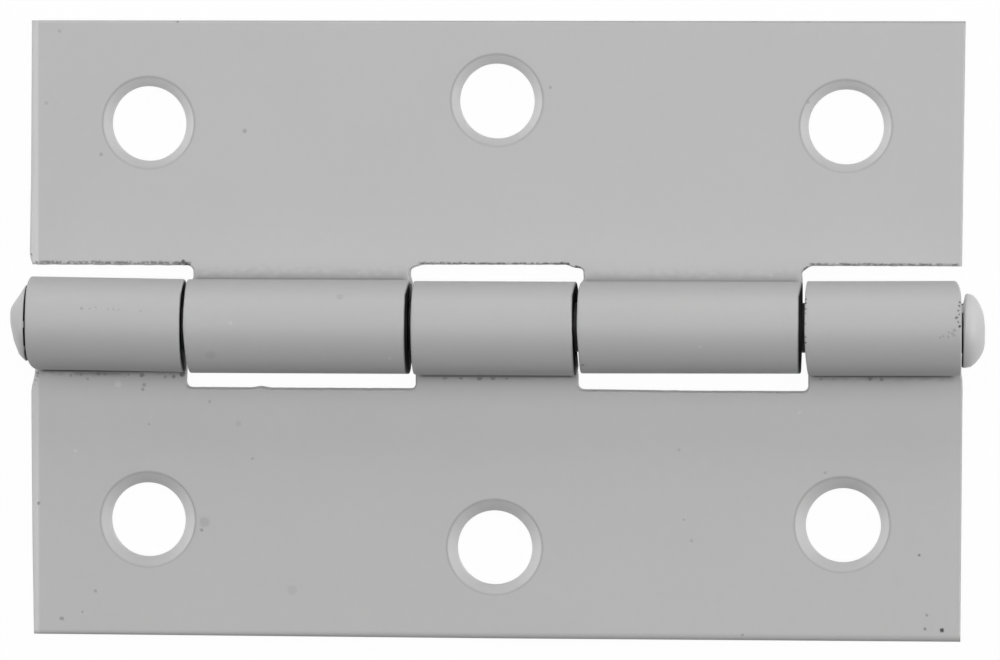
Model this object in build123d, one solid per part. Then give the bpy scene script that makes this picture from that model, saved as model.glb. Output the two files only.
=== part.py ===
from build123d import *
from math import asin, degrees, isclose, radians, tan
import os

# A butt hinge of pressed steel: two flat leaves whose edges are rolled into knuckles round one pin.
# X runs along the pin, +Y to the leaf with two knuckles, +Z out of the countersunk faces.
# The hinge lies open and flat, with the backs of both leaves at z = 0. All sizes are in millimetres.

# Overall sizes
hinge_length = 75.0
three_knuckle_reach = 25.35  # from the pin's axis to the leaf's free edge
two_knuckle_reach = 24.5
sheet = 1.7  # thickness of the steel that both leaves are pressed from

# Pin
pin_radius = 2.0
head_overhang = 1.04  # how far both heads stand out past the shank
head_gap = 0.1  # end play between each head and the knuckle beside it
head_rim = 0.35  # height of the rivet head's straight rim
head_edge = 0.1  # rounding of the rims
dome_height = 1.67
dome_shoulder = 1.1  # rounding from the dome's rim into its crown
dome_shoulder_height = 1.1  # where the crown would meet the rim if it were not rounded
rivet_height = 1.4
rivet_tip_radius = 1.2  # the flat that the hammer leaves
rivet_tip_round = 0.5

# Knuckles
bore_clearance = 0.07  # between the pin and the inside of a knuckle
seam_gap = 0.1  # between the rolled edge of the sheet and the face of its own plate
end_knuckle = 12.55
centre_knuckle = 13.0
knuckle_gap = 0.375  # between neighbouring knuckles
end_float = 0.1  # the leaf with two knuckles has slid this far towards -X on the pin

# Notches that the other leaf's knuckles turn in
three_knuckle_relief = 1.48  # from the other leaf's barrel to the notch's edge
two_knuckle_relief = 1.03
three_knuckle_corner = 0.5  # radius of the notch's corners
two_knuckle_corner = 0.4

# Screw holes
hole_radius = 3.0
three_knuckle_sink = 3.88  # radius of the countersink at the leaf's face
two_knuckle_sink = 3.75
sink_angle = 90.0  # between opposite sides of the cone
hole_end_margin = 9.45  # outer holes, from the ends of the leaf
three_knuckle_margin = 9.35  # outer holes, from the free edge
two_knuckle_margin = 8.5
middle_hole_shift = 2.0  # how much nearer to the free edge the middle hole is

# Rounding that the punch leaves all round the back of the sheet
punched_edge = 0.22

bore_radius = pin_radius + bore_clearance
barrel_radius = bore_radius + sheet
half_length = hinge_length / 2
past = 2.0  # how far a cutting shape runs past what it cuts


def knuckle_spans():
    """Where each of the five knuckles starts and ends along the pin."""
    between = (hinge_length - 2 * end_knuckle - centre_knuckle - 4 * knuckle_gap) / 2
    spans = []
    start = -half_length
    for width in (end_knuckle, between, centre_knuckle, between, end_knuckle):
        spans.append((start, start + width))
        start += width + knuckle_gap
    return spans


def notch_spans(knuckles):
    """The stretches along the pin where a leaf is cut back; the end ones run past the leaf."""
    stops = [-half_length - past]
    for start, end in knuckles:
        stops += [start, end]
    stops.append(half_length + past)
    return [(a, b) for a, b in zip(stops[0::2], stops[1::2]) if not isclose(b - a, past)]


def rolled_sheet(reach):
    """The strip before it is notched: a plate towards -Y whose edge curls round the pin's bore."""
    lift = asin((barrel_radius - sheet - seam_gap) / barrel_radius)
    wrap = 270 + degrees(lift)
    axis = (0, barrel_radius)
    outside = CenterArc(axis, barrel_radius, -90, wrap)
    inside = CenterArc(axis, bore_radius, -90, wrap)
    back = Line((-reach, 0), outside @ 0)
    front = Line((-reach, sheet), inside @ 0)
    free_edge = Line(back @ 0, front @ 0)
    rolled_edge = Line(outside @ 1, inside @ 1)
    section = make_face([back, outside, rolled_edge, inside, front, free_edge])
    return extrude(Plane.YZ * section, amount=half_length, both=True)


def notch(start, end, relief, corner):
    """The space that one knuckle of the other leaf turns in, with round corners in the plate."""
    near = -barrel_radius - relief
    far = barrel_radius + past
    outline = Pos((start + end) / 2, (near + far) / 2) * Rectangle(end - start, far - near)
    outline = fillet(outline.vertices().sort_by(Axis.Y)[:2], corner)
    return extrude(Pos(0, 0, -past) * outline, amount=2 * barrel_radius + 2 * past)


def screw_hole(x, y, sink):
    """A through hole with a countersink that opens on the front face."""
    slope = tan(radians(sink_angle / 2))
    depth = (sink - hole_radius) / slope
    upright = (Align.CENTER, Align.CENTER, Align.MIN)
    shank = Cylinder(hole_radius, sheet + 2 * past, align=upright)
    cone = Cone(hole_radius, sink + past * slope, depth + past, align=upright)
    return Pos(x, y, -past) * shank + Pos(x, y, sheet - depth) * cone


def screw_holes(reach, margin, sink):
    """Three holes in a shallow triangle, with the middle one nearer the free edge."""
    outer_x = half_length - hole_end_margin
    outer_y = margin - reach
    places = [(-outer_x, outer_y), (0, outer_y - middle_hole_shift), (outer_x, outer_y)]
    return [screw_hole(x, y, sink) for x, y in places]


def punched_edges(body):
    """The edges round the back of the sheet, which is also the outside of the barrels."""
    back = body.faces().sort_by(Axis.Z)[0]
    barrels = [f for f in body.faces().filter_by(GeomType.CYLINDER) if isclose(f.radius, barrel_radius)]
    edges = list(back.outer_wire().edges())
    for barrel in barrels:
        edges += barrel.edges()
    # An edge listed twice is where the plate runs smoothly into a barrel
    return [e for e in edges if sum(e.is_same(other) for other in edges) == 1]


def leaf(knuckles, reach, relief, corner, margin, sink):
    """One leaf, towards -Y, pressed and rolled from a single sheet."""
    body = rolled_sheet(reach)
    for start, end in notch_spans(knuckles):
        body -= notch(start, end, relief, corner)
    body -= screw_holes(reach, margin, sink)
    return fillet(punched_edges(body), min(punched_edge, 0.4 * sheet, 0.8 * corner))


def pin():
    """The pin, turned about X, with a hammered rivet head at -X and a domed head at +X."""
    head_radius = pin_radius + head_overhang
    seat = half_length + head_gap
    rivet_end = -seat - rivet_height
    sag = dome_height - dome_shoulder_height
    crown_radius = (sag**2 + head_radius**2) / (2 * sag)
    crown_centre = (seat + dome_height - crown_radius, 0)
    crown = CenterArc(crown_centre, crown_radius, 0, degrees(asin(head_radius / crown_radius)))
    outline = Polyline(
        crown @ 0,
        (rivet_end, 0),
        (rivet_end, rivet_tip_radius),
        (-seat - head_rim, head_radius),
        (-seat, head_radius),
        (-seat, pin_radius),
        (seat, pin_radius),
        (seat, head_radius),
        crown @ 1,
    )
    profile = make_face(outline.edges() + crown.edges())
    rivet_tip = profile.vertices().sort_by(Axis.X)[:2].sort_by(Axis.Y)[-1]
    profile = fillet(rivet_tip, rivet_tip_round)
    shoulder = profile.vertices().group_by(Axis.Y)[-1].sort_by(Axis.X)[-1]
    profile = fillet(shoulder, dome_shoulder)
    profile = fillet(profile.vertices().group_by(Axis.Y)[-1].sort_by(Axis.X)[:3], head_edge)
    return Pos(0, 0, barrel_radius) * revolve(profile, Axis.X)


spans = knuckle_spans()
three = leaf(
    spans[0::2],
    three_knuckle_reach,
    three_knuckle_relief,
    three_knuckle_corner,
    three_knuckle_margin,
    three_knuckle_sink,
)
two = leaf(
    spans[1::2],
    two_knuckle_reach,
    two_knuckle_relief,
    two_knuckle_corner,
    two_knuckle_margin,
    two_knuckle_sink,
)
pieces = {
    "three_knuckle_leaf": three,
    "two_knuckle_leaf": Pos(-end_float, 0, 0) * mirror(two, about=Plane.XZ),
    "hinge_pin": pin(),
}

os.makedirs("parts", exist_ok=True)
for name, piece in pieces.items():
    piece.label = name
    export_step(piece, f"parts/{name}.step")
    print(f"{name}: {piece.volume:.1f} cubic mm")
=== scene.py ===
from math import asin, atan2, cos, hypot, pi, radians, sin

import bmesh
import bpy
from mathutils import Matrix, Vector, noise


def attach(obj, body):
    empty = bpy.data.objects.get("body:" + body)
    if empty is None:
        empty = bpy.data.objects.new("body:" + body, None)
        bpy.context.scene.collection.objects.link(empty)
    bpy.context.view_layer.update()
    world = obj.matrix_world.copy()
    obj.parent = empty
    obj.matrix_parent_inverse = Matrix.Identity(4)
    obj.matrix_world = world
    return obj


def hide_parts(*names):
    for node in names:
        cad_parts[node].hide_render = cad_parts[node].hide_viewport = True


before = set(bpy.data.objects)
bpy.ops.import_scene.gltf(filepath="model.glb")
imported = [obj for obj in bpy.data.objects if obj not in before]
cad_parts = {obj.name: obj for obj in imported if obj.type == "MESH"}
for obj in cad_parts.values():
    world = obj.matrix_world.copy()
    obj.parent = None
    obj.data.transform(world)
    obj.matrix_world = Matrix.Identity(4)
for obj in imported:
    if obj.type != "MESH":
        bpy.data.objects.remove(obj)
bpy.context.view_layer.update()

# Three-knuckle leaf
# The lower half of the hinge, towards -Y: steel strip punched to shape with three tabs, countersunk for
# three screws, then each tab rolled round the pin. It was painted pale grey once the hinge was together.

# Meshes are shaped in millimetres, with the backs of the leaves at z = 0, and shrunk to metres at the end
SHEET = 1.7
PIN_HEIGHT = 3.77  # of the pin's axis over the backs, which is also the outside radius of the knuckles
SEAM_GAP = 0.1  # between a tab's rolled edge and its own plate
ROLL = 3 * pi / 2 + asin((PIN_HEIGHT - SHEET - SEAM_GAP) / PIN_HEIGHT)
ROLL_STEPS = 84
HOLE = 3.02
BACK_EDGE = 0.14  # rounding round the back of the sheet and the knuckles' rims
FRONT_EDGE = 0.2
HOLE_EDGE = 0.06
SHEARED_SLOPE = 0.2  # of the front beside an edge that the shear pulled down
TORN_LENGTH = 0.3  # between the wiggles of a punched edge


def torn(vert, seed, size):
    """Where the punch tore the sheet, the edge wanders a little."""
    x = vert.co.x
    vert.co.y += size * (noise.noise((x * 1.3, seed, 0)) + 0.7 * noise.noise((x * 4.3, seed, 3)))


def sink_down(bm, edges, move, centre=None, shrink=1.0):
    """Pulls walls down from a ring of edges, and gives the ring at their foot."""
    walls = bmesh.ops.extrude_edge_only(bm, edges=edges)["geom"]
    verts = [g for g in walls if isinstance(g, bmesh.types.BMVert)]
    if centre:
        bmesh.ops.scale(bm, vec=(shrink, shrink, 1), space=Matrix.Translation(-centre), verts=verts)
    bmesh.ops.translate(bm, vec=move, verts=verts)
    return [g for g in walls if isinstance(g, bmesh.types.BMEdge)]


def blank(outline, torn_edge, seed, holes, sink, sheared):
    """The flat plate, punched and countersunk, before its tabs are rolled."""
    bm = bmesh.new()
    corners = [(bm.verts.new((x, y, SHEET)), radius) for x, y, radius in outline]
    bm.faces.new([vert for vert, _ in corners])
    for vert, radius in corners:
        if radius:
            bmesh.ops.bevel(
                bm, geom=[vert], offset=radius, offset_type="OFFSET", affect="VERTICES",
                segments=5, profile=0.5, material=-1,
            )
    low, high, size, slope = torn_edge
    for edge in [e for e in bm.edges if e.calc_length() > 2 and all(low < abs(v.co.y) < high for v in e.verts)]:
        made = bmesh.ops.subdivide_edges(bm, edges=[edge], cuts=int(edge.calc_length() / TORN_LENGTH))
        for vert in made["geom_inner"]:
            if isinstance(vert, bmesh.types.BMVert):
                torn(vert, seed, size)
    bmesh.ops.delete(bm, geom=list(bm.faces), context="FACES_ONLY")
    rims = []
    for x, y, aside, beyond in holes:
        ring = bmesh.ops.create_circle(
            bm, segments=72, radius=sink, matrix=Matrix.Translation((x + aside, y + beyond, SHEET)))["verts"]
        rims.append((x, y, aside, beyond, list({e for v in ring for e in v.link_edges})))
    of_rims = {e for *_, rim in rims for e in rim}
    outside = [e for e in bm.edges if e not in of_rims]
    bmesh.ops.triangle_fill(bm, use_beauty=True, edges=list(bm.edges), normal=(0, 0, 1))
    sink_down(bm, outside, (0, 0, -SHEET))
    for x, y, aside, beyond, rim in rims:
        wall = sink_down(
            bm, rim, (-aside, -beyond, HOLE - sink), Vector((x + aside, y + beyond, 0)), HOLE / sink)
        sink_down(bm, wall, (0, 0, sink - HOLE - SHEET))
    # The punch's break slopes, so the torn edge lies further in at the back
    for vert in bm.verts:
        if vert.co.z < 1e-4 and low < abs(vert.co.y) < high:
            vert.co.y += slope
    back = [e for e in bm.edges if all(v.co.z < 1e-4 for v in e.verts)]
    bmesh.ops.triangle_fill(bm, use_beauty=True, edges=back, normal=(0, 0, -1))
    bmesh.ops.recalc_face_normals(bm, faces=bm.faces)
    flat = [e for e in bm.edges if len(e.link_faces) == 2 and e.calc_face_angle() < 1e-3]
    bmesh.ops.dissolve_limit(bm, angle_limit=1e-3, use_dissolve_boundaries=False, verts=[], edges=flat)

    # Beside a sheared edge the front slopes down a little, from a line that runs along it
    for line, inwards in sheared:
        front = [f for f in bm.faces if f.normal.z > 0.9]
        bmesh.ops.bisect_plane(
            bm, geom=front + list({g for f in front for g in (*f.edges, *f.verts)}), dist=1e-4,
            plane_co=line, plane_no=inwards, clear_inner=False, clear_outer=False,
        )
        for vert in bm.verts:
            if vert.co.z > SHEET - 0.3:
                vert.co.z -= SHEARED_SLOPE * max(0, (Vector(line) - vert.co).dot(Vector(inwards)))
    return bm


def roll_tabs(bm, side, knuckles):
    """Each tab's end is spun round the pin, and its knuckle then gets its own place, girth and rims."""
    for knuckle in knuckles:
        start, stop = knuckle["span"]
        end = [
            f for f in bm.faces
            if all(abs(v.co.y) < 1e-5 for v in f.verts) and start - 1 < f.calc_center_median().x < stop + 1
        ]
        geom = list({g for f in end for g in (f, *f.edges, *f.verts)})
        before = set(bm.verts) - {g for g in geom if isinstance(g, bmesh.types.BMVert)}
        bmesh.ops.spin(
            bm, geom=geom, cent=(0, 0, PIN_HEIGHT), axis=(1, 0, 0), dvec=(0, 0, 0),
            angle=-side * ROLL, steps=ROLL_STEPS, use_merge=False, use_duplicate=False,
        )
        for vert in set(bm.verts) - before:
            outer = hypot(vert.co.y, vert.co.z - PIN_HEIGHT) > PIN_HEIGHT - 0.3
            share = (vert.co.x - start) / (stop - start)
            rim = knuckle["left"] if share < 0.5 else knuckle["right"]
            vert.co.x += rim(vert.co.y / PIN_HEIGHT, vert.co.z / PIN_HEIGHT - 1)
            if outer:
                low, high = knuckle["shift"]
                vert.co.y = vert.co.y * knuckle["girth"] + low + (high - low) * share
                vert.co.z = min(vert.co.z, 2 * PIN_HEIGHT - 0.001)
    bmesh.ops.recalc_face_normals(bm, faces=bm.faces)


def rim(upper=0.0, top=0.0, lower=0.0, upper_corner=0.0, lower_corner=0.0, bottom=0.0):
    """A knuckle's rim moved along the pin by its own amounts at its +Y side, top, -Y side and bottom.

    A worn corner is moved only where the knuckle reaches furthest to +Y or -Y.
    """
    return lambda y, z: (
        upper * max(0, y) ** 2 + top * max(0, z) ** 2 + lower * max(0, -y) + bottom * max(0, -z)
        + upper_corner * max(0, y) ** 9 + lower_corner * max(0, -y) ** 9)


def round_edges(bm, holes, sink):
    """The rounding that punch and paint leave: round the back, then the front, then the holes."""
    def beside_hole(vert):
        return vert.co.z < SHEET + 0.1 and any(
            hypot(vert.co.x - x - aside, vert.co.y - y - beyond) < sink + 0.1 for x, y, aside, beyond in holes)

    def outside(vert):
        away = hypot(vert.co.y, vert.co.z - PIN_HEIGHT)
        return vert.co.z < 0.02 or away > PIN_HEIGHT - 0.5 and abs(vert.co.y) < PIN_HEIGHT + 0.4 and not (
            vert.co.z < SHEET + 0.01)

    sharp = [e for e in bm.edges if len(e.link_faces) == 2 and e.calc_face_angle() > radians(36)]
    of_holes = [e for e in sharp if all(beside_hole(v) for v in e.verts)]
    rest = [e for e in sharp if not any(beside_hole(v) for v in e.verts)]
    backs = [e for e in rest if all(outside(v) for v in e.verts)]
    fronts = [e for e in rest if not any(outside(v) for v in e.verts)]
    for edges, size, segments in ((backs, BACK_EDGE, 3), (fronts, FRONT_EDGE, 4), (of_holes, HOLE_EDGE, 2)):
        bmesh.ops.bevel(
            bm, geom=edges, offset=size, offset_type="OFFSET", affect="EDGES", segments=segments,
            profile=0.5, material=-1, clamp_overlap=False, loop_slide=True,
        )


def into_scene(bm, name, paint, body, node):
    """Makes the mesh a piece with smooth faces that stands for its CAD node and rides on its body."""
    bmesh.ops.remove_doubles(bm, verts=bm.verts, dist=1e-5)
    bmesh.ops.recalc_face_normals(bm, faces=bm.faces)
    bmesh.ops.scale(bm, vec=(0.001, 0.001, 0.001), verts=bm.verts)
    mesh = bpy.data.meshes.new(name)
    bm.to_mesh(mesh)
    bm.free()
    for polygon in mesh.polygons:
        polygon.use_smooth = True
    mesh.materials.append(paint)
    piece = bpy.data.objects.new(name, mesh)
    bpy.context.scene.collection.objects.link(piece)
    weighted = piece.modifiers.new("flat faces stay flat", "WEIGHTED_NORMAL")
    weighted.weight = 80
    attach(piece, body)
    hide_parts(node)


class Level:
    """A number that varies over a surface; Python's operators on it add Math nodes."""

    def __init__(self, finish, socket):
        self.finish, self.socket = finish, socket

    def maths(self, operation, *values, clamp=False):
        return self.finish.node("Math", {"operation": operation, "use_clamp": clamp}, dict(enumerate(values)))

    def __add__(self, other):
        return self.maths("ADD", self, other)

    def __sub__(self, other):
        return self.maths("SUBTRACT", self, other)

    def __rsub__(self, other):
        return self.maths("SUBTRACT", other, self)

    def __mul__(self, other):
        return self.maths("MULTIPLY", self, other)

    def __truediv__(self, other):
        return self.maths("DIVIDE", self, other)

    def __lt__(self, other):
        return self.maths("LESS_THAN", self, other)

    def __gt__(self, other):
        return self.maths("GREATER_THAN", self, other)

    def __or__(self, other):
        return self.maths("MAXIMUM", self, other)

    def __abs__(self):
        return self.maths("ABSOLUTE", self)

    __radd__, __rmul__, __ror__ = __add__, __mul__, __or__

    def clamped(self):
        return self.maths("ADD", self, 0.0, clamp=True)


class Finish:
    """The nodes of a material or of the world."""

    def __init__(self, owner):
        owner.use_nodes = True
        self.owner, self.tree = owner, owner.node_tree
        self.tree.nodes.clear()

    def node(self, kind, settings, values, output=0):
        """Adds a node: its settings first, then its sockets' values or links."""
        node = self.tree.nodes.new("ShaderNode" + kind)
        for setting, value in settings.items():
            setattr(node, setting, value)
        for socket, value in values.items():
            if isinstance(value, Level):
                self.tree.links.new(value.socket, node.inputs[socket])
            else:
                node.inputs[socket].default_value = value
        if output is not None:
            return Level(self, node.outputs[output])

    def measure(self):
        """Places in millimetres on the piece."""
        metres = self.node("TexCoord", {}, {}, "Object")
        self.place = self.node("VectorMath", {"operation": "SCALE"}, {0: metres, "Scale": 1000.0})
        self.x, self.y, self.z = (self.node("SeparateXYZ", {}, {0: self.place}, axis) for axis in "XYZ")

    def cloud(self, size, detail=2.0, stretch=(1, 1, 1), output=0):
        """Soft noise from 0 to 1, with spots of about the size given."""
        place = self.node("VectorMath", {"operation": "MULTIPLY"}, {0: self.place, 1: stretch})
        return self.node("TexNoise", {}, {"Vector": place, "Scale": 1 / size, "Detail": detail}, output)

    def away(self, centre, place):
        """How far a place is from a point."""
        return self.node("VectorMath", {"operation": "DISTANCE"}, {0: place, 1: centre}, "Value")

    def tint(self, share, colour, other):
        """A colour that turns into another where share is 1."""
        return self.node("Mix", {"data_type": "RGBA"}, {0: share, 6: colour, 7: other}, 2)

    def between(self, start, stop, soft):
        """1 between two places along the pin, with soft ends."""
        return ((self.x - start) / soft).clamped() * ((stop - self.x) / soft).clamped()


def grey(level):
    return (level, level, level, 1.0)


def strongest(marks):
    """The darkest of the marks that meet at a place."""
    total = marks[0]
    for mark in marks[1:]:
        total = total | mark
    return total


KNUCKLE_GAPS = (-24.82, -6.74, 6.64, 24.72)  # their middles
LEAF_GREY = 0.455
GRIME_AND_SHADE = 0.035


def leaf_paint(name, side, holes, sink, free_edge, roots, shaded_bare_ends, specks, dots, tears):
    """Pale grey stoving paint over the sheet, with the dirt, specks and tears that the hinge shows, and painted
    light and shade on its edges, creases, countersinks and knuckles.
    """
    paint = Finish(bpy.data.materials.new(name))
    paint.measure()
    from_hinge = side * paint.y
    on_plate = paint.z < 2.0
    mottle = paint.cloud(0.7, 4.0)
    fine = paint.cloud(0.12, 3.0)
    lumps = paint.cloud(0.45, 3.0, (0.7, 1, 1))
    wander = paint.node("VectorMath", {"operation": "MULTIPLY_ADD"}, {
        0: paint.cloud(0.18, 3.0, output=1), 1: (0.22, 0.22, 0.22),
        2: paint.node("VectorMath", {"operation": "ADD"}, {0: paint.place, 1: (-0.11, -0.11, -0.11)}),
    })
    # Painted shade: a darker band along the free edge, where its rounding turns away from the light
    edge_start, per_mm, painted_edge_shade = free_edge
    marks = [((from_hinge - edge_start) * per_mm).clamped() * painted_edge_shade]

    # Dirt and painted shade in the creases at the knuckles' roots: a dark line in each crease, and a soft darkening
    # of the plate beside it
    for start, stop, crease, line, smear_and_shade, reach in roots:
        along = paint.between(start, stop, 0.5) * on_plate
        out = abs(from_hinge - crease)
        marks.append((1.2 - out / 0.12).clamped() * along * line)
        soft = (1.0 - out / ((0.1 + lumps * 1.8) * reach)).clamped()
        marks.append(soft * soft * along * smear_and_shade)

    # Specks and nicks in the paint
    for place, size, strength in specks:
        marks.append(((1.0 - paint.away(place, wander) / size) * 2.5).clamped() * strength)

    # Painted shade along each countersink's rim, darker towards +Y, and painted light on its cone, strongest at its
    # +X side and fading out towards -Y
    lit_cones = []
    for x, y, aside, beyond in holes:
        out = paint.away((x + aside, y + beyond, SHEET), paint.place)
        right = (paint.x - x) / 3.4
        up = (paint.y - y) / 3.4
        marks.append((1.0 - abs(out - (sink + 0.05)) / 0.15).clamped() * (0.24 + up * 0.07))
        painted_cone_light = 0.21 + right * 0.16 + up * (0.11 + side * 0.04) + (right * right - up * up) * 0.11
        lit_cones.append((out < sink + 0.01) * (paint.z < SHEET - 0.02) * painted_cone_light)

    # Tears that the punch left along the notches, with the clean cut below them
    for start, stop, edge, least in tears:
        wave = paint.cloud(0.3, 2.0, (1, 0, 0)) * 0.16 + paint.cloud(1.6, 2.0, (1, 0, 0)) * 0.14
        width = least + paint.cloud(0.35, 3.0, (1, 0.3, 0)) * 0.17
        line = (1.2 - abs(from_hinge - (edge + wave)) / width).clamped()
        broken = ((paint.cloud(0.3, 3.0, (1, 0.6, 1)) - 0.34) * 5.0).clamped()
        marks.append(line * broken * paint.between(start, stop, 0.2) * (paint.z > 1.3) * 0.68)
    # Dirt, specks and tears, together with the painted shade at the edges, root creases and countersink rims
    grime_and_shade = strongest(marks).clamped()

    # Painted shade makes the knuckles a little darker than the plates, and painted light makes the sloping sheared
    # end at -X a little paler
    radius = paint.node("VectorMath", {"operation": "LENGTH"}, {
        0: paint.node("CombineXYZ", {}, {1: paint.y, 2: paint.z - PIN_HEIGHT})}, "Value")
    knuckle = (radius < 3.95) * ((paint.z - 0.5) * 0.4).clamped()
    end = ((-36.85 - paint.x) * 5.0).clamped() * on_plate * (paint.z > 1.2)

    # Bare steel inside the gaps between knuckles, painted near black to stand for the shade in them, with painted
    # shade ramping up over the knuckles' ends towards it
    inside = ((3.5 - radius) * 6.0).clamped()
    bare_steel_and_shade = [paint.between(gap - 0.5, gap + 0.5, 0.02) * inside for gap in KNUCKLE_GAPS]
    for start, stop, lean in shaded_bare_ends:
        tapered = ((paint.y - 2.6) * 0.25).clamped()
        worn_and_shaded = ((paint.x - start - lean * paint.y - tapered) * 4.5 + 0.6).clamped()
        bare_steel_and_shade.append(worn_and_shaded * worn_and_shaded * (paint.x < stop) * (radius < 3.95))
    bare_steel_and_shade = strongest(bare_steel_and_shade).clamped()

    pale = strongest([((1.0 - paint.away(place, wander) / size) * 2.0).clamped() * 0.25 for place, size in dots])
    shade = 1.0 + (paint.cloud(9.0, 3.0) - 0.5) * 0.04 + (mottle - 0.5) * 0.04 - knuckle * 0.1 + end * 0.26
    for cone in lit_cones:
        shade = shade + cone
    base = paint.node("VectorMath", {"operation": "SCALE"}, {0: grey(LEAF_GREY)[:3], "Scale": shade})
    light = paint.tint(pale, base, grey(0.7))
    dirty_and_shaded = paint.tint(grime_and_shade, light, grey(GRIME_AND_SHADE))
    colour = paint.tint(bare_steel_and_shade, dirty_and_shaded, grey(0.006))
    bump = paint.node("Bump", {}, {"Strength": 0.5, "Distance": 0.001, "Height": mottle * 0.005 + fine * 0.0012})
    shader = paint.node("BsdfPrincipled", {}, {
        "Base Color": colour, "Metallic": bare_steel_and_shade, "Roughness": 0.5 + (mottle - 0.5) * 0.12 + grime_and_shade * 0.25,
        "Normal": bump, "Specular IOR Level": 0.35,
    })
    paint.node("OutputMaterial", {}, {"Surface": shader}, None)
    return paint.owner


THREE_SINK = 3.8
three_holes = [  # x and y, and how far the countersink is off the hole's centre
    (-28.13, -15.91, 0.05, 0.08), (-0.08, -18.02, 0.02, 0.11), (28.0, -16.07, -0.09, 0.13),
]
three_outline = [  # x, y and the corner's rounding, against the clock from the free edge
    (-37.39, -25.18, 0), (0, -25.32, 0), (37.44, -25.35, 0), (37.52, -5.2, 0), (37.5, -4.2, 0), (37.36, -3.4, 0),
    (37.36, 0, 0), (25.12, 0, 0), (25.14, -5.28, 0.45), (16, -5.29, 0), (6.63, -5.21, 0.45), (6.63, -3.9, 0.3),
    (6.45, -3.3, 0), (6.45, 0, 0), (-6.52, 0, 0), (-6.52, -2.5, 0), (-6.46, -3.9, 0), (-6.46, -5.2, 0.45),
    (-18.2, -5.2, 0), (-19.05, -5.07, 0), (-19.75, -5.19, 0), (-25.05, -5.18, 0.45), (-25.0, 0, 0),
    (-37.32, 0, 0), (-37.26, -3.5, 0), (-37.26, -4.0, 0.3), (-37.39, -4.6, 0.3), (-37.58, -5.3, 0.4),
    (-37.56, -10, 0), (-37.5, -18, 0),
]
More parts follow.
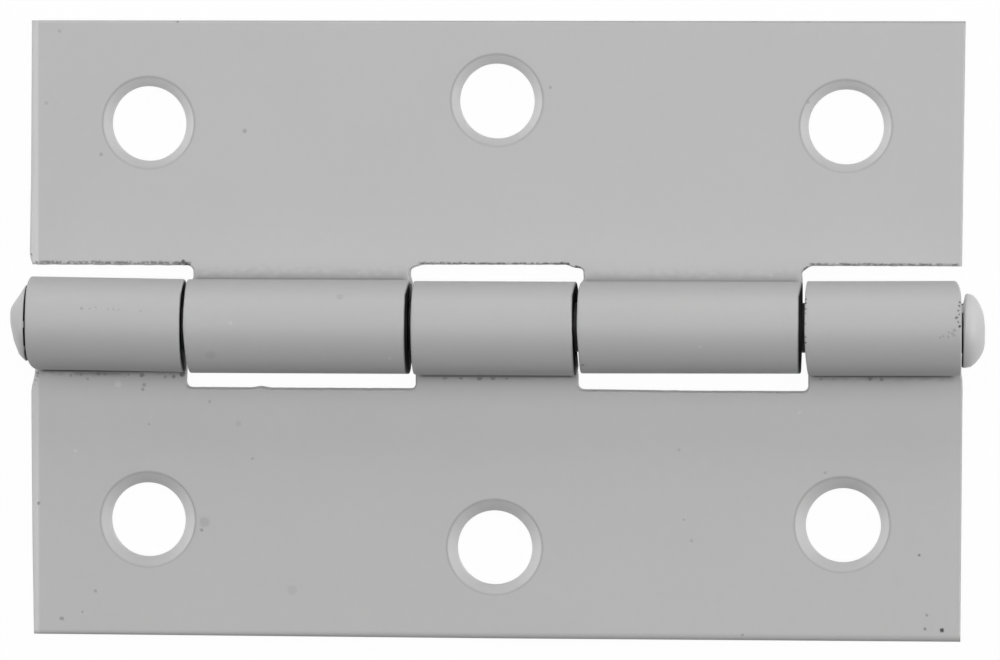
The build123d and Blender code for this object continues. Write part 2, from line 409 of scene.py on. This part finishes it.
three_specks = [
    ((35.95, -24.4, SHEET), 0.22, 0.95), ((34.58, -24.32, SHEET), 0.16, 0.5), ((34.74, -23.19, SHEET), 0.15, 0.4),
    ((34.1, -18.36, SHEET), 0.14, 0.6), ((-23.5, -16.02, SHEET), 0.5, 0.16), ((-23.74, -16.66, SHEET), 0.16, 0.4),
    ((-35.1, -23.91, SHEET), 0.22, 0.4), ((-32.36, -21.66, SHEET), 0.18, 0.3), ((-33.4, -23.35, SHEET), 0.14, 0.35),
    ((-36.95, -14.57, SHEET), 0.18, 0.5), ((-20.76, -8.04, SHEET), 0.3, 0.12), ((-28.01, -8.12, SHEET), 0.15, 0.25),
    ((-19.63, -10.86, SHEET), 0.14, 0.25), ((-23.09, -6.27, SHEET), 0.16, 0.25), ((-16.41, -21.5, SHEET), 0.5, 0.1),
    ((15.17, -15.62, SHEET), 0.14, 0.25), ((14.77, -9.98, SHEET), 0.14, 0.25), ((15.81, -17.31, SHEET), 0.18, 0.2),
    ((19.92, -24.88, SHEET), 0.16, 0.35), ((26.53, -11.75, SHEET), 0.14, 0.25), ((-28.4, -4.95, SHEET), 0.2, 0.35),
    ((-28.5, -5.3, SHEET), 0.16, 0.35), ((37.2, 2.25, 6.8), 0.12, 0.9), ((37.18, 1.95, 7.0), 0.11, 0.8),
    ((37.1, 1.6, 7.15), 0.12, 0.7), ((36.95, 1.05, 7.4), 0.16, 0.7), ((37.1, 0.7, 7.45), 0.11, 0.8),
    ((37.22, 0.35, 7.5), 0.13, 0.95), ((36.8, 0.05, 7.5), 0.18, 0.3), ((36.6, -0.2, 7.5), 0.16, 0.25),
    ((36.75, -0.35, 7.5), 0.13, 0.25), ((36.35, -0.1, 7.5), 0.12, 0.25), ((36.3, -0.5, 7.5), 0.16, 0.2),
    ((35.9, -0.4, 7.5), 0.12, 0.25), ((35.65, -0.55, 7.5), 0.14, 0.22), ((-32.86, 1.48, 7.24), 0.15, 0.3),
    ((-24.95, -3.72, 2.4), 0.4, 0.9), ((37.15, 1.3, 7.3), 0.1, 0.6), ((-32.2, 1.46, 7.25), 0.12, 0.18),
    ((-31.74, 1.58, 7.2), 0.12, 0.2), ((-30.75, 1.46, 7.25), 0.14, 0.12), ((-30.3, 1.43, 7.26), 0.15, 0.14),
    ((-29.9, 1.4, 7.27), 0.13, 0.12), ((-28.1, 1.3, 7.31), 0.15, 0.15), ((-34.35, -4.2, SHEET), 0.18, 0.3),
    ((-33.5, -4.06, SHEET), 0.24, 0.45), ((-32.96, -4.5, SHEET), 0.16, 0.25), ((-32.1, -4.0, SHEET), 0.3, 0.55),
    ((-31.6, -4.03, SHEET), 0.25, 0.5), ((-29.66, -4.05, SHEET), 0.2, 0.35), ((-28.57, -4.15, SHEET), 0.24, 0.5),
    ((-26.66, -4.3, SHEET), 0.18, 0.3), ((-25.99, -4.25, SHEET), 0.2, 0.5), ((-25.3, -4.06, SHEET), 0.28, 0.7),
    ((-37.02, -4.05, SHEET), 0.16, 0.5), ((-37.08, -4.3, SHEET), 0.14, 0.4), ((-37.2, -4.6, SHEET), 0.13, 0.3),
    ((-37.35, -4.95, SHEET), 0.13, 0.3), ((-4.1, -4.2, SHEET), 0.28, 0.4), ((-2.8, -4.2, SHEET), 0.25, 0.45),
    ((-1.3, -4.2, SHEET), 0.34, 0.55), ((-0.2, -4.2, SHEET), 0.3, 0.5), ((0.9, -4.2, SHEET), 0.25, 0.4),
    ((30.1, -4.1, SHEET), 0.3, 0.6), ((31.0, -4.15, SHEET), 0.25, 0.5), ((26.2, -4.2, SHEET), 0.2, 0.4),
    ((27.2, -4.15, SHEET), 0.2, 0.35), ((24.95, 2.46, 6.64), 0.14, 0.8), ((24.93, 2.18, 6.86), 0.15, 0.8),
    ((24.93, 1.68, 7.16), 0.12, 0.7), ((24.92, 1.37, 7.3), 0.13, 0.7), ((24.92, 0.5, 7.5), 0.1, 0.6),
    ((24.92, -0.55, 7.51), 0.13, 0.7), ((24.93, -1.0, 7.42), 0.14, 0.7),
]
three_dots = [((-30.5, -4.9, SHEET), 0.35), ((-33.97, -10.3, SHEET), 0.18), ((24.43, -6.92, SHEET), 0.15)]
bm = blank(
    three_outline, (5.1, 5.4, 0.02, 0), 4.0, three_holes, THREE_SINK,
    [((-36.95, 0, 0), (1, 0, 0)), ((0, -24.8, 0), (0, 1, 0))])
roll_tabs(bm, -1, [
    {"span": (-37.32, -25.0), "left": rim(-0.16, -0.08, -0.04, 0.13, 0.42),
     "right": rim(0.08, 0.0, -0.02, 0.0, 0.2, 0.1), "shift": (0.13, -0.03), "girth": 0.991},
    {"span": (-6.52, 6.45), "left": rim(0.03, 0.01, 0.05), "right": rim(0.12, -0.06, 0.17, 0.0, 0.0, 0.2),
     "shift": (-0.13, -0.13), "girth": 0.995},
    {"span": (25.12, 37.36), "left": rim(-0.2, -0.26, 0.02, 0.08), "right": rim(-0.04, 0.0, 0.02, -0.37),
     "shift": (-0.05, 0.02), "girth": 1.004},
])
round_edges(bm, three_holes, THREE_SINK)
three_paint = leaf_paint(
    "leaf_paint_three", -1, three_holes, THREE_SINK, (24.75, 2.2, 0.18),
    [(-37.0, -24.9, 3.84, 0.9, 0.65, 0.5), (-34.4, -29.8, 4.02, 0.0, 0.5, 0.4), (-6.3, 6.5, 4.12, 0.72, 0.4, 0.35),
     (-2.5, 3.0, 4.16, 0.0, 0.45, 0.35), (25.2, 37.0, 3.99, 0.75, 0.6, 0.5)],
    [(-25.02, -24.6, 0.0), (6.33, 6.9, -0.02)], three_specks, three_dots, [])
into_scene(bm, "leaf_with_three_knuckles", three_paint, "fixed_leaf", "three_knuckle_leaf")

# Two-knuckle leaf
# The upper half, towards +Y, from the same strip. Its two knuckles lie between the other leaf's three, and
# it turns on the pin, on which it has slid a little to the left. The punch has torn its notches' edges.
TWO_SINK = 3.66
two_holes = [(-28.05, 16.11, 0.03, 0.09), (0.05, 18.0, 0.02, 0.09), (28.1, 16.0, -0.02, 0.1)]
two_outline = [
    (37.62, 24.499, 0), (-37.48, 24.4, 0), (-37.57, 12, 0), (-37.69, 5.4, 0.3), (-37.45, 4.71, 0),
    (-24.4, 4.69, 0.5), (-24.42, 3.68, 0.12), (-24.69, 3.45, 0.12), (-24.7, 0, 0), (-6.75, 0, 0), (-6.78, 3.4, 0),
    (-6.95, 3.9, 0.2), (-6.88, 4.5, 0.2), (-6.5, 4.62, 0), (-5.9, 4.82, 0.2), (5.75, 4.86, 0.2), (6.25, 4.62, 0.2),
    (7.03, 4.58, 0.3), (7.07, 3.66, 0.15), (6.78, 3.36, 0.12), (6.7, 0, 0), (24.68, 0, 0), (24.66, 3.5, 0),
    (24.6, 4.35, 0.2), (25.0, 4.62, 0), (25.35, 4.84, 0.2), (37.43, 4.85, 0),
]
two_specks = [
    ((-25.67, 24.4, SHEET), 0.16, 0.6), ((-20.27, 15.56, SHEET), 0.22, 0.3), ((-31.87, 13.63, SHEET), 0.18, 0.3),
    ((-36.27, 17.76, SHEET), 0.18, 0.2), ((-35.2, 23.55, SHEET), 0.18, 0.2), ((4.37, 19.11, SHEET), 0.16, 0.25),
    ((25.08, 17.98, SHEET), 0.22, 0.3), ((-22.55, -2.2, 6.8), 0.5, 0.12), ((-12.2, 2.5, 6.6), 0.35, 0.15),
    ((7.2, -2.9, 6.1), 0.2, 0.4), ((-25.22, 5.0, SHEET), 0.22, 0.85), ((-25.5, 4.84, SHEET), 0.2, 0.75),
    ((-24.98, 4.82, SHEET), 0.24, 0.85), ((-24.75, 4.72, SHEET), 0.16, 0.8), ((-25.8, 4.86, SHEET), 0.15, 0.6),
    ((5.3, 4.98, SHEET), 0.18, 0.8), ((5.8, 4.92, SHEET), 0.18, 0.8),
    ((6.5, 4.7, SHEET), 0.16, 0.8), ((6.75, 4.64, SHEET), 0.15, 0.8), ((24.85, 4.6, SHEET), 0.16, 0.7),
    ((25.0, 4.72, SHEET), 0.14, 0.6),
]
two_dots = [((-20.89, 0.39, 7.52), 0.16), ((16.6, -1.38, 7.28), 0.16), ((-8.2, -2.4, 6.7), 0.2)]
bm = blank(two_outline, (4.6, 4.95, 0.035, 0.16), 9.0, two_holes, TWO_SINK, [((-36.95, 0, 0), (1, 0, 0))])
roll_tabs(bm, 1, [
    {"span": (-24.7, -6.75), "left": rim(0.05, -0.02, 0.23, -0.04), "right": rim(-0.06, 0.0, -0.03),
     "shift": (-0.075, -0.075), "girth": 0.998},
    {"span": (6.7, 24.68), "left": rim(0.09, 0.06, 0.25, 0.12), "right": rim(0.0, 0.02, -0.1),
     "shift": (-0.065, -0.005), "girth": 0.973},
])
round_edges(bm, two_holes, TWO_SINK)
two_paint = leaf_paint(
    "leaf_paint_two", 1, two_holes, TWO_SINK, (24.3, 8.0, 0.32),
    [(-24.5, -7.0, 3.68, 0.5, 0.38, 1.1), (6.9, 24.5, 3.66, 0.4, 0.34, 1.1)],
    [(-7.08, -6.4, 0.0), (24.33, 25.0, 0.0)], two_specks, two_dots,
    [(-37.3, -24.5, 4.77, 0.07), (-6.3, 5.9, 4.82, 0.03), (25.1, 37.3, 4.87, 0.03)])
into_scene(bm, "leaf_with_two_knuckles", two_paint, "swinging_leaf", "two_knuckle_leaf")

# Pin
# One steel pin through all five knuckles, held by the three-knuckle leaf. Its right head was formed before
# it went in, its left end was hammered over afterwards, and both were painted with the leaves.
PIN = 2.0
pin_profile = [  # place along the pin, radius, and how far that ring was struck off centre
    (-38.92, 0, 0.56), (-38.9, 0.8, 0.56), (-38.62, 1.63, 0.2), (-38.2, 2.43, -0.03), (-37.72, 3.06, 0.12),
    (-37.6, 3.02, 0.12), (-37.58, PIN, 0), (37.5, PIN, 0), (37.54, 2.9, -0.18), (37.7, 2.98, -0.18),
    (38.2, 2.87, -0.2), (38.56, 2.54, -0.22), (38.85, 2.12, -0.25), (39.05, 1.7, -0.3), (39.18, 1.25, -0.4),
    (39.25, 0.7, -0.46), (39.26, 0, -0.46),
]
bm = bmesh.new()
verts = [bm.verts.new((x, 0, radius)) for x, radius, _ in pin_profile]
edges = [bm.edges.new(pair) for pair in zip(verts, verts[1:])]
bmesh.ops.spin(
    bm, geom=verts + edges, cent=(0, 0, 0), axis=(1, 0, 0), dvec=(0, 0, 0), angle=2 * pi, steps=72,
    use_merge=True, use_duplicate=False,
)
bmesh.ops.remove_doubles(bm, verts=bm.verts, dist=1e-4)
for vert in bm.verts:
    _, _, off_centre = min(pin_profile, key=lambda ring: abs(ring[0] - vert.co.x))
    if vert.co.x > 37.52:  # the right head is tilted on the pin too
        vert.co.x += 0.045 * vert.co.y * (39.3 - vert.co.x) / 1.7
    vert.co.y += off_centre
bmesh.ops.translate(bm, vec=(0, 0, PIN_HEIGHT), verts=bm.verts)

paint = Finish(bpy.data.materials.new("pin_paint"))
paint.measure()
mottle = paint.cloud(0.6, 4.0)
# Paint has bridged the crack beside the left head in two places, and beside the right head in one
bridge = strongest([(paint.away(place, paint.place) < size) * 1.0 for place, size in (
    ((-37.5, 0.15, 6.75), 0.3), ((-37.55, -1.85, 6.15), 0.28), ((37.5, 1.75, 4.9), 0.55))])
# The shank shows only in the cracks beside the heads and in the gaps between knuckles: bare steel, painted near
# black as the shade there
shank = paint.between(-37.64, 37.53, 0.01) * (1.0 - bridge)
# The heads' grey is set lighter than the leaves' same paint, as painted light on their sides that face the end
# lamps
colour = paint.tint(shank, grey(0.51), grey(0.012))
bump = paint.node("Bump", {}, {"Strength": 0.5, "Distance": 0.001, "Height": mottle * 0.02})
shader = paint.node("BsdfPrincipled", {}, {
    "Base Color": colour, "Roughness": 0.45 + (mottle - 0.5) * 0.15, "Normal": bump, "Specular IOR Level": 0.35})
paint.node("OutputMaterial", {}, {"Surface": shader}, None)
into_scene(bm, "riveted_pin", paint.owner, "fixed_leaf", "hinge_pin")

# Floor
# A plain pale sweep that the hinge lies on. The camera sees it nearly white, as in the photograph, and it
# keeps a faint shadow of the hinge.
bm = bmesh.new()
bmesh.ops.create_grid(bm, x_segments=1, y_segments=1, size=8.0)
bmesh.ops.translate(bm, vec=(0, 0, -0.00003), verts=bm.verts)
mesh = bpy.data.meshes.new("floor")
bm.to_mesh(mesh)
bm.free()
floor = bpy.data.objects.new("floor", mesh)
bpy.context.scene.collection.objects.link(floor)
white = Finish(bpy.data.materials.new("floor_white"))
seen = strongest([
    white.node("LightPath", {}, {}, ray) for ray in ("Is Camera Ray", "Is Glossy Ray", "Is Transmission Ray")])
matt = white.node("BsdfDiffuse", {}, {"Color": grey(0.8)})
glow = white.node("Emission", {}, {"Strength": 1.0})
both = white.node("MixShader", {}, {0: seen * 0.97, 1: matt, 2: glow})
white.node("OutputMaterial", {}, {"Surface": both}, None)
mesh.materials.append(white.owner)

# Light
# Soft boxes on stands, as for a catalogue: one low at each end of the hinge, three beyond the upper leaf,
# and two overhead. None stands on the near side, so the barrel's lower half is in shade.
ROOM_GLOW = 0.01
lamps = {  # side it stands on, from +X towards +Y, and height over the floor, in degrees, then size and watts
    "left_end": (180, 28, 0.35, 1.4), "right_end": (0, 28, 0.35, 2.55), "left_back": (158, 36, 0.45, 0.5),
    "right_back": (22, 36, 0.45, 0.4), "low_back": (90, 22, 0.35, 1.7), "high_back": (90, 70, 0.45, 1.25),
    "overhead": (90, 84, 0.35, 0.8),
}
world = Finish(bpy.data.worlds.new("studio"))
bpy.context.scene.world = world.owner
shown = strongest([
    world.node("LightPath", {}, {}, ray) for ray in ("Is Camera Ray", "Is Glossy Ray", "Is Transmission Ray")])
room = world.node("Background", {}, {"Color": grey(1.0), "Strength": shown * (1.0 - ROOM_GLOW) + ROOM_GLOW})
world.node("OutputWorld", {}, {"Surface": room}, None)
for name, (side, height, size, watts) in lamps.items():
    light = bpy.data.lights.new(name, "AREA")
    light.shape = "SQUARE"
    light.size = size
    light.energy = watts
    lamp = bpy.data.objects.new(name, light)
    bpy.context.scene.collection.objects.link(lamp)
    towards = Vector((
        cos(radians(side)) * cos(radians(height)), sin(radians(side)) * cos(radians(height)), sin(radians(height))))
    lamp.matrix_world = Matrix.Translation(0.7 * towards) @ towards.to_track_quat("Z", "Y").to_matrix().to_4x4()

# Camera
# It looks straight down on the open hinge from 0.6 m, 3 degrees off square both ways, as the photographer
# stood, with a long lens.
back = Vector((sin(radians(2.96)) * cos(radians(3.0)), sin(radians(3.0)), cos(radians(2.96)) * cos(radians(3.0))))
right = Vector((cos(radians(2.96)), 0, -sin(radians(2.96))))
up = back.cross(right)
roll = radians(0.10)
across = cos(roll) * right + sin(roll) * up
upright = cos(roll) * up - sin(roll) * right
aim = Vector((0.00026, -0.00048, 0))
lens = bpy.data.cameras.new("camera")
lens.sensor_width = 36.0
lens.lens = 7437 / 1000 * 36
lens.clip_start = 0.01
lens.clip_end = 50.0
camera = bpy.data.objects.new("camera", lens)
bpy.context.scene.collection.objects.link(camera)
camera.matrix_world = Matrix.Translation(aim + 0.6 * back) @ Matrix((across, upright, back)).transposed().to_4x4()
bpy.context.scene.camera = camera
bpy.context.scene.view_settings.view_transform = "Standard"
